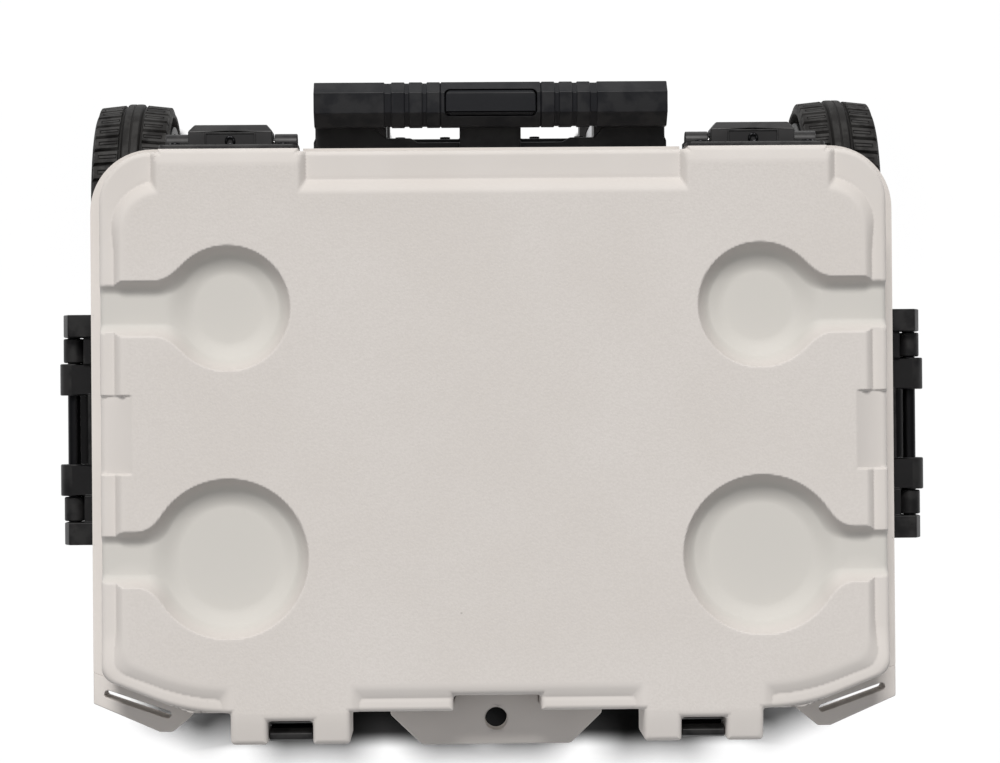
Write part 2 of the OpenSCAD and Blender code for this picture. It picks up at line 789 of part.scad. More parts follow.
module release_rod(side) color(steel) rod_z(side * tube_x, tube_y, [96, yoke_z], rod_r);

// ---- wheels

module tyre(side) color(dark_rubber) on_side(side) translate([0, wheel_y, wheel_r]) rotate([90, 0, 90])
    rotate_extrude($fn = fine) polygon([
        [rim_r, wheel_in], [wheel_r - 5, wheel_in], [wheel_r - 2, wheel_in + 4],
        [wheel_r - 1, wheel_in + wheel_w * 0.38], [wheel_r, wheel_in + wheel_w * 0.4],
        [wheel_r, wheel_in + wheel_w * 0.6], [wheel_r - 1, wheel_in + wheel_w * 0.62],
        [wheel_r - 2, wheel_out - 4], [wheel_r - 5, wheel_out], [rim_r, wheel_out]
    ]);

module wheel_hub(side) color(black) on_side(side) difference() {
    translate([0, wheel_y, wheel_r]) rotate([90, 0, 90]) difference() {
        rotate_extrude($fn = fine) polygon([
            [axle_d / 2 + 4, wheel_in + 4], [22, wheel_in + 4], [22, wheel_out - 32],
            [rim_r - 7, wheel_out - 32], [rim_r - 7, wheel_in], [rim_r - 0.1, wheel_in],
            [rim_r - 0.1, wheel_out - 3], [rim_r - 7, wheel_out - 3], [rim_r - 10, wheel_out - 24],
            [24, wheel_out - 18], [24, wheel_out - 10], [axle_d / 2 + 4, wheel_out - 10]
        ]);
        for (a = [0 : 60 : 300]) rotate(a) translate([49, 0, 300]) cylinder(h = 100, r = 14, $fn = medium);
    }
}

module wheel_bush(side) color(cream) on_side(side) difference() {
    rod_x([wheel_in + 4, wheel_out - 14], wheel_y, wheel_r, axle_d / 2 + 4 - fixed_gap);
    rod_x([wheel_in, wheel_out - 10], wheel_y, wheel_r, axle_d / 2 + run_gap);
}

module hub_cap(side) color(black) on_side(side)
    translate([0, wheel_y, wheel_r]) rotate([90, 0, 90]) rotate_extrude($fn = fine) polygon([
        [0, wheel_out - 4], [0, wheel_out - 8], [21, wheel_out - 8], [21, wheel_out - 9.9],
        [24, wheel_out - 9.9], [24, wheel_out - 7], [20, wheel_out - 4]
    ]);

// ---- side handles

module side_base(side) color(black) on_side(side) difference() {
    union() {
        round_block_x(side_base, [side_y - side_base_l / 2, side_y + side_base_l / 2], [340, 421], 8);
        for (s = [-1, 1]) {
            end = [min(s * side_end, s * side_base_l / 2), max(s * side_end, s * side_base_l / 2)];
            translate([0, side_y + end[0], 0]) rotate([90, 0, 0]) mirror([0, 0, 1])
                linear_extrude(end[1] - end[0])
                    polygon([[side_base[1] - 1, 372], [369, 388], [374, 396], [374, 410],
                        [369, 421], [side_base[1] - 1, 421]]);
            knuckle = [min(s * side_knuckle[0], s * side_knuckle[1]),
                max(s * side_knuckle[0], s * side_knuckle[1])];
            rod_y(side_x, [side_y + knuckle[0], side_y + knuckle[1]], side_z, 12);
            block([side_base[1] - 1, side_x], [side_y + knuckle[0], side_y + knuckle[1]],
                [side_z - 12, side_z + 12]);
        }
        block([side_base[1] - 1, 353], [side_y - 31, side_y + 31], [392, 416]);
        // webs behind the eyes of the bail
        for (s = [-1, 1])
            block([side_base[1] - 1, side_x - side_eye_r - 1],
                [side_y + min(s * 57, s * 81), side_y + max(s * 57, s * 81)], [380, 418]);
    }
    rod_y(side_x, [side_y - 92, side_y + 92], side_z, side_pin_r + fixed_gap);
    for (dy = [-62, -20, 20, 62])
        rod_x([side_base[0] - 1, side_base[1] + 1], side_y + dy, 353, screw_r + 0.1, 24);
}

module round_block_x(x, y, z, r) {
    translate([x[0], 0, 0]) rotate([90, 0, 90]) linear_extrude(x[1] - x[0]) round_rect(y, z, r, 32);
}

module side_pins() color(black)
    for (s = [-1, 1]) on_side(s) rod_y(side_x, [side_y - 91.5, side_y + 91.5], side_z, side_pin_r);

module side_screws() color(steel)
    for (s = [-1, 1], dy = [-62, -20, 20, 62]) on_side(s)
        translate([side_base[1], side_y + dy, 353]) rotate([0, 90, 0]) screw(8);

module bail(side) color(black) on_side(side) difference() {
    union() {
        for (s = [-1, 1]) {
            arm = [min(s * side_arm[0], s * side_arm[1]) + side_y,
                max(s * side_arm[0], s * side_arm[1]) + side_y];
            rod_y(side_x, arm, side_z, side_eye_r);
            block([side_x - 6, side_x + 6], arm, [side_z - bail_drop, side_z]);
            rod_y(side_x, arm, side_z - bail_drop, side_grip_r);
        }
        rod_y(side_x, [side_y - side_arm[0] - 1, side_y + side_arm[0] + 1], side_z - bail_drop,
            side_grip_r - 0.5);
    }
    rod_y(side_x, [side_y - 90, side_y + 90], side_z, side_pin_r + run_gap);
}

// ---- the nodes

tub_shell();
tub_liner();
tub_foam();
corner_lug(-1);  // corner_lug_left
corner_lug(1);  // corner_lug_right
tub_lock_tab();
hinge_base(-1);  // hinge_base_left
hinge_base(1);  // hinge_base_right
hinge_pins();
hinge_screws();
latch_base(-1);  // latch_base_left
latch_base(1);  // latch_base_right
latch_pins();
latch_screws();
tow_dock();
tow_foot();
tow_screws();
tube(-1, 0);  // outer_tube_left
tube(1, 0);  // outer_tube_right
side_base(-1);  // side_base_left
side_base(1);  // side_base_right
side_pins();
side_screws();
axle();
front_feet();
drain_socket();
lid_top();
lid_foam();
lid_liner();
lid_gasket();
lid_lock_tab();
hinge_leaf(-1);  // hinge_leaf_left
hinge_leaf(1);  // hinge_leaf_right
leaf_screws();
latch_keepers();
latch_lever(-1);  // latch_lever_left
latch_lever(1);  // latch_lever_right
tube(-1, 1);  // mid_tube_left
tube(1, 1);  // mid_tube_right
tube(-1, 2);  // inner_tube_left
tube(1, 2);  // inner_tube_right
grip_cover();
grip_body();
tow_button();
release_rod(-1);  // release_rod_left
release_rod(1);  // release_rod_right
tyre(-1);  // tyre_left
tyre(1);  // tyre_right
wheel_hub(-1);  // wheel_hub_left
wheel_hub(1);  // wheel_hub_right
wheel_bush(-1);  // wheel_bush_left
wheel_bush(1);  // wheel_bush_right
hub_cap(-1);  // hub_cap_left
hub_cap(1);  // hub_cap_right
bail(-1);  // bail_left
bail(1);  // bail_right
drain_plug();
drain_washer();
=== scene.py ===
import json
import math
import bmesh
import bpy
import numpy as np
from mathutils import Matrix, Vector
from mathutils.geometry import delaunay_2d_cdt


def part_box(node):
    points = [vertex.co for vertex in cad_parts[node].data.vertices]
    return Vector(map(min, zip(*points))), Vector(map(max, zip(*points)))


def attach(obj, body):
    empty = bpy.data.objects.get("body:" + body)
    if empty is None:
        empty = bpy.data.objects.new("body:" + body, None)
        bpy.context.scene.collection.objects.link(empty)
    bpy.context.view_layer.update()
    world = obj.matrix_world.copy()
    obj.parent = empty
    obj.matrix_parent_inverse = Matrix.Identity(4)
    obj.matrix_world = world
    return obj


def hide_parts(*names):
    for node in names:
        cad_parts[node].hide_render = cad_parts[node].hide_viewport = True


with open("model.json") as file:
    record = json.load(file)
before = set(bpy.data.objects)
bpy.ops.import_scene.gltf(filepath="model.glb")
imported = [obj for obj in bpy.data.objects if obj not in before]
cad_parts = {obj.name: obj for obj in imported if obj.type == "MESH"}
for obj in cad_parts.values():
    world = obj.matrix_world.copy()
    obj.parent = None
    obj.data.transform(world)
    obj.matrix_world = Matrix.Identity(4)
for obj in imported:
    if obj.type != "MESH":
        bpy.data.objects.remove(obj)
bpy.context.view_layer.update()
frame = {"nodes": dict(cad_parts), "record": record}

# lengths are in metres, angles in degrees unless a name says otherwise
mm = 0.001


def boxOf(node):
    low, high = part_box(node)
    return np.array(low), np.array(high)


# ---------- node helpers


def feed(tree, socket, value):
    # a socket takes a link from another one, or a plain value
    if isinstance(value, bpy.types.NodeSocket):
        tree.links.new(value, socket)
    else:
        socket.default_value = value


def addNode(tree, kind, settings=None, **inputs):
    # an input named i0, i1 and so on is the socket at that place
    made = tree.nodes.new(kind)
    for key, value in (settings or {}).items():
        setattr(made, key, value)
    for key, value in inputs.items():
        byPlace = key[0] == "i" and key[1:].isdigit()
        feed(tree, made.inputs[int(key[1:])] if byPlace else made.inputs[key], value)
    return made


def mathOf(tree, operation, a, b=0.0, clamp=False):
    return addNode(tree, "ShaderNodeMath", dict(operation=operation, use_clamp=clamp), i0=a, i1=b).outputs[0]


def rampOf(tree, value, low, high, first=0.0, last=1.0):
    made = addNode(tree, "ShaderNodeMapRange", dict(interpolation_type="SMOOTHSTEP"))
    tree.links.new(value, made.inputs["Value"])
    for key, number in (("From Min", low), ("From Max", high), ("To Min", first), ("To Max", last)):
        made.inputs[key].default_value = number
    return made.outputs["Result"]


def mixOf(tree, factor, a, b):
    return addNode(tree, "ShaderNodeMix", dict(data_type="RGBA"), i0=factor, i6=a, i7=b).outputs[2]


def startMaterial(name):
    made = bpy.data.materials.new(name)
    made.use_nodes = True
    tree = made.node_tree
    shader = tree.nodes["Principled BSDF"]
    place = addNode(tree, "ShaderNodeTexCoord").outputs["Object"]
    return made, tree, shader, place


# ---------- camera and stage

# nearly over the middle, and a little to the left
camera = dict(place=(-0.046, 0.002, 2.91), target=(0.0042, 0.0177, 0.510), lens=102.9, roll=-0.45, reach=50)


def makeCamera():
    data = bpy.data.cameras.new("camera")
    data.lens = camera["lens"]
    data.clip_end = camera["reach"]
    cam = bpy.data.objects.new("camera", data)
    bpy.context.scene.collection.objects.link(cam)
    place, target = Vector(camera["place"]), Vector(camera["target"])
    back = (place - target).normalized()
    turn = math.radians(camera["roll"])
    right = Vector((math.cos(turn), math.sin(turn), 0))
    right = (right - back * right.dot(back)).normalized()
    up = back.cross(right)
    cam.matrix_world = Matrix.Translation(place) @ Matrix((right, up, back)).transposed().to_4x4()
    bpy.context.scene.camera = cam


# sun lamps; elevation and azimuth are where the light comes from, and azimuth 90 is straight behind the object
lights = dict(
    key=dict(elevation=48, azimuth=96, spread=18, strength=2.62, colour=(1.0, 0.985, 0.965), onFloor=False,
             gloss=True),
    top=dict(elevation=82, azimuth=200, spread=60, strength=0.62, colour=(1, 1, 1), onFloor=False, gloss=False),
    floorTop=dict(elevation=82, azimuth=88, spread=5, strength=20.8, colour=(1, 1, 1), onFloor=True, gloss=False),
)
lampAway = 5
sky = dict(colour=(0.96, 0.97, 1.0), strength=0.20, backdrop=1.0)


def makeLights(floor):
    # the floor has a light of its own from overhead, so the object's shadow stays close to it
    onFloor = bpy.data.collections.new("onFloor")
    offFloor = bpy.data.collections.new("offFloor")
    onFloor.objects.link(floor)
    offFloor.objects.link(floor)
    offFloor.collection_objects[0].light_linking.link_state = "EXCLUDE"
    for name, given in lights.items():
        data = bpy.data.lights.new(name, "SUN")
        data.energy = given["strength"]
        data.color = given["colour"]
        data.angle = math.radians(given["spread"])
        lamp = bpy.data.objects.new(name, data)
        up, around = math.radians(given["elevation"]), math.radians(given["azimuth"])
        toLight = Vector((math.cos(up) * math.cos(around), math.cos(up) * math.sin(around), math.sin(up)))
        lamp.location = toLight * lampAway
        lamp.rotation_euler = (-toLight).to_track_quat("-Z", "Y").to_euler()
        bpy.context.scene.collection.objects.link(lamp)
        lamp.light_linking.receiver_collection = onFloor if given["onFloor"] else offFloor
        lamp.visible_glossy = given["gloss"]
    world = bpy.data.worlds.new("sky")
    world.use_nodes = True
    tree = world.node_tree
    light = tree.nodes["Background"]
    light.inputs["Color"].default_value = (*sky["colour"], 1)
    light.inputs["Strength"].default_value = sky["strength"]
    # the backdrop that is looked at is white, though its light is dim
    white = addNode(tree, "ShaderNodeBackground", Strength=sky["backdrop"])
    seen = addNode(tree, "ShaderNodeLightPath").outputs["Is Camera Ray"]
    chosen = addNode(tree, "ShaderNodeMixShader", i0=seen, i1=light.outputs[0], i2=white.outputs[0])
    tree.links.new(chosen.outputs[0], tree.nodes["World Output"].inputs["Surface"])
    bpy.context.scene.world = world


# the paper, and a painted shadow on it: its colour goes nearly black just in front of the object; each pair is
# where one runs into the other
paper = dict(
    half=6, colour=(0.15, 0.15, 0.15, 1), rough=0.9, specular=0.2,
    # shade is the colour of the painted shadow
    shade=(0.006, 0.006, 0.006, 1), shadeFront=(-0.353, -0.333), shadeSide=(0.20, 0.31), shadeRear=(-0.20, 0.0),
)


def makeFloor():
    half = paper["half"]
    mesh = bpy.data.meshes.new("floor")
    corners = [(-half, -half, 0), (half, -half, 0), (half, half, 0), (-half, half, 0)]
    mesh.from_pydata(corners, [], [(0, 1, 2, 3)])
    floor = bpy.data.objects.new("floor", mesh)
    bpy.context.scene.collection.objects.link(floor)
    made, tree, shader, place = startMaterial("floorPaper")
    # painted shadow: inside the patch in front of the object the paper takes the nearly black shade colour,
    # outside it the plain paper colour
    axes = addNode(tree, "ShaderNodeSeparateXYZ", Vector=place).outputs
    ahead = rampOf(tree, axes["Y"], *paper["shadeFront"], 1.0, 0.0)
    aside = rampOf(tree, mathOf(tree, "ABSOLUTE", axes["X"]), *paper["shadeSide"])
    behind = rampOf(tree, axes["Y"], *paper["shadeRear"])
    outside = mathOf(tree, "MAXIMUM", mathOf(tree, "MAXIMUM", ahead, aside), behind)
    colour = mixOf(tree, outside, paper["shade"], paper["colour"])
    tree.links.new(colour, shader.inputs["Base Color"])
    shader.inputs["Roughness"].default_value = paper["rough"]
    shader.inputs["Specular IOR Level"].default_value = paper["specular"]
    mesh.materials.append(made)
    return floor


makeCamera()
makeLights(makeFloor())
bpy.context.scene.view_settings.view_transform = "Standard"
print("stage: camera, lights and floor")

# ---------- shader groups


def newGroup(name, inputs, outputs):
    group = bpy.data.node_groups.new(name, "ShaderNodeTree")
    for label, kind, value in inputs:
        socket = group.interface.new_socket(label, in_out="INPUT", socket_type="NodeSocket" + kind)
        socket.default_value = value
    for label, kind in outputs:
        group.interface.new_socket(label, in_out="OUTPUT", socket_type="NodeSocket" + kind)
    return group, group.nodes.new("NodeGroupInput").outputs, group.nodes.new("NodeGroupOutput").inputs


def pebbleGroup():
    # fine moulded pebble: rounded cells over a softer noise
    group, given, out = newGroup(
        "pebble",
        [("Vector", "Vector", (0, 0, 0)), ("Scale", "Float", 600.0), ("Softness", "Float", 0.5)],
        [("Height", "Float"), ("Fleck", "Float")],
    )
    cells = addNode(group, "ShaderNodeTexVoronoi", dict(feature="SMOOTH_F1"), Vector=given["Vector"],
                    Scale=given["Scale"], Smoothness=0.6)
    noise = addNode(group, "ShaderNodeTexNoise", Vector=given["Vector"], Scale=given["Scale"], Detail=2.0)
    bumps = mathOf(group, "SUBTRACT", 1.0, cells.outputs["Distance"])
    mixed = addNode(group, "ShaderNodeMix", dict(data_type="FLOAT"), Factor=given["Softness"])
    group.links.new(bumps, mixed.inputs[2])
    group.links.new(noise.outputs["Fac"], mixed.inputs[3])
    group.links.new(mixed.outputs[0], out["Height"])
    group.links.new(rampOf(group, noise.outputs["Fac"], 0.35, 0.65), out["Fleck"])
    return group


def wearAndHighlightGroup():
    # lighter edges broken up by noise: partly wear, partly a painted highlight where creases and edges catch the
    # light
    group, given, out = newGroup(
        "edgeWear",
        [("Vector", "Vector", (0, 0, 0)), ("Scale", "Float", 60.0), ("Amount", "Float", 0.5)],
        [("Mask", "Float")],
    )
    edge = addNode(group, "ShaderNodeNewGeometry").outputs["Pointiness"]
    sharp = rampOf(group, edge, 0.505, 0.56)
    noise = addNode(group, "ShaderNodeTexNoise", Vector=given["Vector"], Scale=given["Scale"], Detail=4.0)
    broken = rampOf(group, noise.outputs["Fac"], 0.38, 0.6)
    mask = mathOf(group, "MULTIPLY", mathOf(group, "MULTIPLY", sharp, broken), given["Amount"], clamp=True)
    group.links.new(mask, out["Mask"])
    return group


def dustGroup():
    # cloudy handling marks and a few tiny specks
    group, given, out = newGroup(
        "dust",
        [("Vector", "Vector", (0, 0, 0)), ("Scale", "Float", 7.0), ("Specks", "Float", 0.35)],
        [("Cloud", "Float"), ("Speck", "Float")],
    )
    cloud = addNode(group, "ShaderNodeTexNoise", Vector=given["Vector"], Scale=given["Scale"],
                    Detail=6.0, Roughness=0.55)
    group.links.new(rampOf(group, cloud.outputs["Fac"], 0.3, 0.7), out["Cloud"])
    spots = addNode(group, "ShaderNodeTexVoronoi", dict(feature="F1"), Vector=given["Vector"], Scale=28.0)
    near = rampOf(group, spots.outputs["Distance"], 0.02, 0.035, 1.0, 0.0)
    chosen = mathOf(group, "LESS_THAN", spots.outputs["Color"], 0.16)
    speck = mathOf(group, "MULTIPLY", mathOf(group, "MULTIPLY", near, chosen), given["Specks"])
    group.links.new(speck, out["Speck"])
    return group


groups = dict(pebble=pebbleGroup(), wear=wearAndHighlightGroup(), dust=dustGroup())


def placeGroup(tree, name, **inputs):
    made = tree.nodes.new("ShaderNodeGroup")
    made.node_tree = groups[name]
    for key, value in inputs.items():
        feed(tree, made.inputs[key], value)
    return made.outputs


# ---------- materials

# colours run from colour to shade in soft clouds; cup is painted shade, a darker colour put inside the cup
# holders
finishes = dict(
    creamShell=dict(colour=(0.660, 0.624, 0.594), shade=(0.636, 0.598, 0.565), cup=(0.585, 0.566, 0.532),
                    rough=0.62, roughSpread=0.08, grain=900, bump=0.05, depth=0.25, wear=0.0, specks=0.5,
                    specular=0.35),
    whiteLiner=dict(colour=(0.80, 0.79, 0.75), shade=(0.76, 0.75, 0.71), rough=0.42, roughSpread=0.08,
                    grain=1500, bump=0.03, depth=0.2, wear=0.0, specks=0.1, specular=0.5),
    foamYellow=dict(colour=(0.83, 0.72, 0.42), shade=(0.74, 0.60, 0.30), rough=0.9, roughSpread=0.05,
                    grain=500, bump=0.5, depth=0.6, wear=0.0, specks=0.0, specular=0.2),
    blackTrim=dict(colour=(0.0070, 0.0068, 0.0072), shade=(0.0092, 0.0089, 0.0093), rough=0.42, roughSpread=0.10,
                   grain=1500, bump=0.12, depth=0.25, wear=0.14, specks=0.0, specular=0.24),
    hingeBlack=dict(colour=(0.0140, 0.0136, 0.0142), shade=(0.0180, 0.0174, 0.0180), rough=0.40, roughSpread=0.10,
                    grain=1500, bump=0.12, depth=0.25, wear=0.20, specks=0.0, specular=0.34),
    gripBlack=dict(colour=(0.0064, 0.0068, 0.0086), shade=(0.0078, 0.0083, 0.0104), rough=0.38, roughSpread=0.10,
                   grain=1400, bump=0.22, depth=0.3, wear=0.10, specks=0.0, specular=0.22),
    tyreRubber=dict(colour=(0.0092, 0.0086, 0.0082), shade=(0.0150, 0.0138, 0.0130), rough=0.62, roughSpread=0.12,
                    grain=900, bump=0.2, depth=0.3, wear=0.28, specks=0.3, specular=0.24),
    sealRubber=dict(colour=(0.013, 0.013, 0.013), shade=(0.019, 0.019, 0.019), rough=0.75, roughSpread=0.08,
                    grain=1100, bump=0.1, depth=0.2, wear=0.1, specks=0.1, specular=0.35),
    bushNylon=dict(colour=(0.72, 0.71, 0.66), shade=(0.66, 0.65, 0.60), rough=0.5, roughSpread=0.06,
                   grain=1500, bump=0.03, depth=0.2, wear=0.0, specks=0.0, specular=0.45),
)
lidGrain = dict(scale=470.0, softness=0.62, fineShare=0.12, fleckShare=0.3, fleckShade=0.9, bump=0.75)
# the colour of the lighter edges: partly wear, partly painted highlight
wearAndHighlightColour = (0.11, 0.108, 0.105, 1)
metals = dict(
    tubeMetal=dict(colour=(0.50, 0.505, 0.52), rough=0.34, streak=(260, 260, 6)),
    pinSteel=dict(colour=(0.48, 0.48, 0.48), rough=0.30, streak=(9, 320, 320)),
    blackSteel=dict(colour=(0.028, 0.028, 0.030), rough=0.38, streak=(200, 200, 200)),
)
metalDetail = dict(streakScale=6.0, smoother=0.06, rougher=0.10, cloudShade=0.86, bump=0.08, depth=0.1)


def darker(colour, share):
    return (*[value * share for value in colour], 1)


def plasticMaterial(name, grainMask=False):
    finish = finishes[name]
    made, tree, shader, place = startMaterial(name + ("Grained" if grainMask else ""))
    dust = placeGroup(tree, "dust", Vector=place, Specks=finish["specks"])
    pebble = placeGroup(tree, "pebble", Vector=place, Scale=float(finish["grain"]), Softness=0.45)
    colour = mixOf(tree, dust["Cloud"], (*finish["colour"], 1), (*finish["shade"], 1))
    if finish["specks"]:
        colour = mixOf(tree, dust["Speck"], colour, darker(finish["shade"], 0.5))
    # lighter edges: partly wear, partly painted highlight
    if finish["wear"]:
        wornAndLit = placeGroup(tree, "wear", Vector=place, Amount=finish["wear"])
        colour = mixOf(tree, wornAndLit["Mask"], colour, wearAndHighlightColour)
    rough = rampOf(tree, dust["Cloud"], 0, 1, finish["rough"], finish["rough"] + finish["roughSpread"])
    height = pebble["Height"]
    if grainMask:
        # coarse pebble where the top is textured, nearly smooth where the moulding is polished
        mask = addNode(tree, "ShaderNodeAttribute", dict(attribute_name="grainMask")).outputs["Fac"]
        coarse = placeGroup(tree, "pebble", Vector=place, Scale=lidGrain["scale"], Softness=lidGrain["softness"])
        height = mathOf(tree, "ADD", mathOf(tree, "MULTIPLY", coarse["Height"], mask),
                        mathOf(tree, "MULTIPLY", pebble["Height"], lidGrain["fineShare"]))
        fleck = mathOf(tree, "MULTIPLY", mathOf(tree, "MULTIPLY", coarse["Fleck"], mask), lidGrain["fleckShare"])
        # painted shade: inside the cup holders the colour turns to the darker cup colour
        cupMask = addNode(tree, "ShaderNodeAttribute", dict(attribute_name="cupMask")).outputs["Fac"]
        colour = mixOf(tree, cupMask, colour, (*finish["cup"], 1))
        colour = mixOf(tree, fleck, colour, darker(finish["shade"], lidGrain["fleckShade"]))
    strength = lidGrain["bump"] if grainMask else finish["bump"]
    bump = addNode(tree, "ShaderNodeBump", Height=height, Strength=strength, Distance=finish["depth"] * mm)
    tree.links.new(colour, shader.inputs["Base Color"])
    tree.links.new(rough, shader.inputs["Roughness"])
    tree.links.new(bump.outputs["Normal"], shader.inputs["Normal"])
    shader.inputs["Specular IOR Level"].default_value = finish["specular"]
    return made


def metalMaterial(name):
    finish = metals[name]
    made, tree, shader, place = startMaterial(name)
    detail = metalDetail
    stretched = addNode(tree, "ShaderNodeMapping", Vector=place, Scale=finish["streak"])
    streak = addNode(tree, "ShaderNodeTexNoise", Vector=stretched.outputs["Vector"], Scale=detail["streakScale"],
                     Detail=3.0).outputs["Fac"]
    dust = placeGroup(tree, "dust", Vector=place)
    rough = rampOf(tree, streak, 0.3, 0.7, finish["rough"] - detail["smoother"],
                   finish["rough"] + detail["rougher"])
    colour = mixOf(tree, dust["Cloud"], (*finish["colour"], 1), darker(finish["colour"], detail["cloudShade"]))
    bump = addNode(tree, "ShaderNodeBump", Height=streak, Strength=detail["bump"], Distance=detail["depth"] * mm)
    tree.links.new(colour, shader.inputs["Base Color"])
    tree.links.new(rough, shader.inputs["Roughness"])
    tree.links.new(bump.outputs["Normal"], shader.inputs["Normal"])
    shader.inputs["Metallic"].default_value = 1.0
    return made


materials = {name: plasticMaterial(name) for name in finishes}
materials.update({name: metalMaterial(name) for name in metals})
materials["creamGrained"] = plasticMaterial("creamShell", grainMask=True)
slotMaterial = dict(
    cream_shell="creamShell", white_liner="whiteLiner", foam="foamYellow", black_trim="blackTrim",
    grip_black="gripBlack", tube_metal="tubeMetal", black_steel="blackSteel", steel="pinSteel",
    seal_rubber="sealRubber", tyre="tyreRubber", bush_nylon="bushNylon",
)
# the hinges and the dock have a finish of their own within their slot
nodeFinish = dict.fromkeys(
    ["hinge_leaf_left", "hinge_leaf_right", "hinge_base_left", "hinge_base_right", "tow_dock"], "hingeBlack")
nodeSlot = {part["node"]: part["material_slot"] for part in frame["record"]["subparts"]}
bodies = frame["record"]["behaviour"]["bodies"]
bodyOf = {node: body for body, nodes in bodies.items() for node in nodes}
print("materials:", len(materials))

# ---------- pieces made from the frame


def showMesh(name, mesh, node, material=None):
    piece = bpy.data.objects.new(name, mesh)
    bpy.context.scene.collection.objects.link(piece)
    mesh.materials.clear()
    mesh.materials.append(materials[material or nodeFinish.get(node) or slotMaterial[nodeSlot[node]]])
    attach(piece, bodyOf[node])
    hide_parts(node)
    return piece


merge = dict(gap=2e-6, flat=0.8)


def mergedCopy(node):
    # the frame's triangles, joined at their corners and paired where they are flat
    mesh = bpy.data.meshes.new(node)
    form = bmesh.new()
    form.from_mesh(frame["nodes"][node].data)
    bmesh.ops.remove_doubles(form, verts=form.verts, dist=merge["gap"])
    bmesh.ops.join_triangles(form, faces=form.faces, angle_face_threshold=math.radians(merge["flat"]),
                             angle_shape_threshold=math.radians(180))
    for face in form.faces:
        face.smooth = True
    form.to_mesh(mesh)
    form.free()
    return mesh


rounding = dict(segments=2, sharp=32, evenWeight=80)


def roundEdges(piece, width):
    bevel = piece.modifiers.new("roundEdges", "BEVEL")
    bevel.width = width
    bevel.segments = rounding["segments"]
    bevel.limit_method = "ANGLE"
    bevel.angle_limit = math.radians(rounding["sharp"])
    bevel.use_clamp_overlap = False
    bevel.miter_outer = "MITER_ARC"
    even = piece.modifiers.new("evenShading", "WEIGHTED_NORMAL")
    even.keep_sharp = True
    even.weight = rounding["evenWeight"]


# how far each kind of piece is rounded, in millimetres
edgeWidths = dict(
    corner_lug=1.0, tub_lock_tab=1.4, lid_lock_tab=1.8, hinge_base=0.8, hinge_leaf=1.0, latch_base=0.8,
    latch_lever=1.2, tow_dock=1.3, tow_foot=1.2, side_base=1.0, bail=1.2, drain_socket=0.8, drain_plug=0.6,
    wheel_hub=1.0, hub_cap=0.8, grip_cover=0.6, grip_body=0.6, tow_button=0.7, front_feet=1.2,
    outer_tube=0.3, mid_tube=0.3, inner_tube=0.3, lid_liner=1.0, tub_liner=1.2,
)
madeByHand = ["lid_top", "tyre_left", "tyre_right", "leaf_screws"]


def roundedFromFrame():
    for node in frame["nodes"]:
        family = node.replace("_left", "").replace("_right", "")
        if node in madeByHand:
            continue
        width = edgeWidths.get(family)
        if width is None:
            kept = frame["nodes"][node].data.materials
            kept.clear()
            kept.append(materials[slotMaterial[nodeSlot[node]]])
            continue
        piece = showMesh(node + "_shape", mergedCopy(node), node)
        roundEdges(piece, width * mm)


roundedFromFrame()
print("pieces from the frame are rounded")

# ---------- lid top

lidLow, lidHigh = boxOf("lid_top")
lid = dict(
    half=lidHigh[0], front=0.259, rear=0.213, topZ=lidHigh[2], lowZ=lidLow[2],
    cornerR=44 * mm, chamfer=(73.5 * mm, 29.4 * mm), edgeR=4.5 * mm,
    # the border is lower than the plateau, and less so along the front, from the first y to the second
    borderDrop=7 * mm, frontLift=3.4 * mm, frontLiftOver=(0.19, 0.225),
    plateauIn=(18 * mm, 33 * mm, 20 * mm),       # from the side, rear and front edges
    plateauCornerR=34 * mm, plateauChamfer=(60 * mm, 23 * mm),
    stepRun=5.5 * mm, stepWider=3 * mm,
    crease=dict(deep=0.25 * mm, away=0.8 * mm, wide=1.8 * mm),
    hingeSlope=dict(drop=2.6 * mm, run=12.5 * mm), latchSlope=dict(drop=5.0 * mm, run=27 * mm),
    hingeBlock=(164 * mm, 282 * mm, lidHigh[1]),
    latchBlock=(123.5 * mm, 224 * mm, -lidLow[1]),
    latchNotch=(155 * mm, 193 * mm, 266 * mm),
    lockNotch=(37 * mm, 246 * mm),
    cups=[(224 * mm, 81 * mm, 52 * mm), (224.5 * mm, -129.5 * mm, 66.5 * mm)],
    cupDepth=20.5 * mm, cupWall=9 * mm, channelDepth=13 * mm, channelHalf=22.5 * mm, flare=7.5 * mm,
    ramp=(-58 * mm, 8 * mm, 28 * mm), rampDrop=11 * mm, rampSoft=1.2 * mm,
    wall=4 * mm, hollowZ=0.484,
)


def smoothStep(value, low, high):
    t = np.clip((value - low) / (high - low), 0, 1)
    return t * t * (3 - 2 * t)


def smoothMax(a, b, k):
    h = np.clip(k - np.abs(a - b), 0, None) / k
    return np.maximum(a, b) + h * h * k / 4


def smoothMin(a, b, k):
    return -smoothMax(-a, -b, k)


def boxDistance(x, y, x0, x1, y0, y1, k=2 * mm):
    # how far a point is inside a rectangle
    return smoothMin(smoothMin(x - x0, x1 - x, k), smoothMin(y - y0, y1 - y, k), k)


def outlineDistance(x, y, half, rear, front, radius, chamfer):
    # how far a point is inside a lid outline with round rear and chamfered front corners
    slant = math.hypot(*chamfer)
    corner = (half - x) * chamfer[1] + (y + front) * chamfer[0] - chamfer[0] * chamfer[1]
    straight = smoothMin(np.minimum(half - x, y + front), corner / slant, 12 * mm)
    inner = np.minimum(straight, rear - y)
    outX, outY = x - (half - radius), y - (rear - radius)
    around = radius - np.hypot(outX, outY)
    return np.where((outX > 0) & (outY > 0), np.minimum(around, straight), inner)


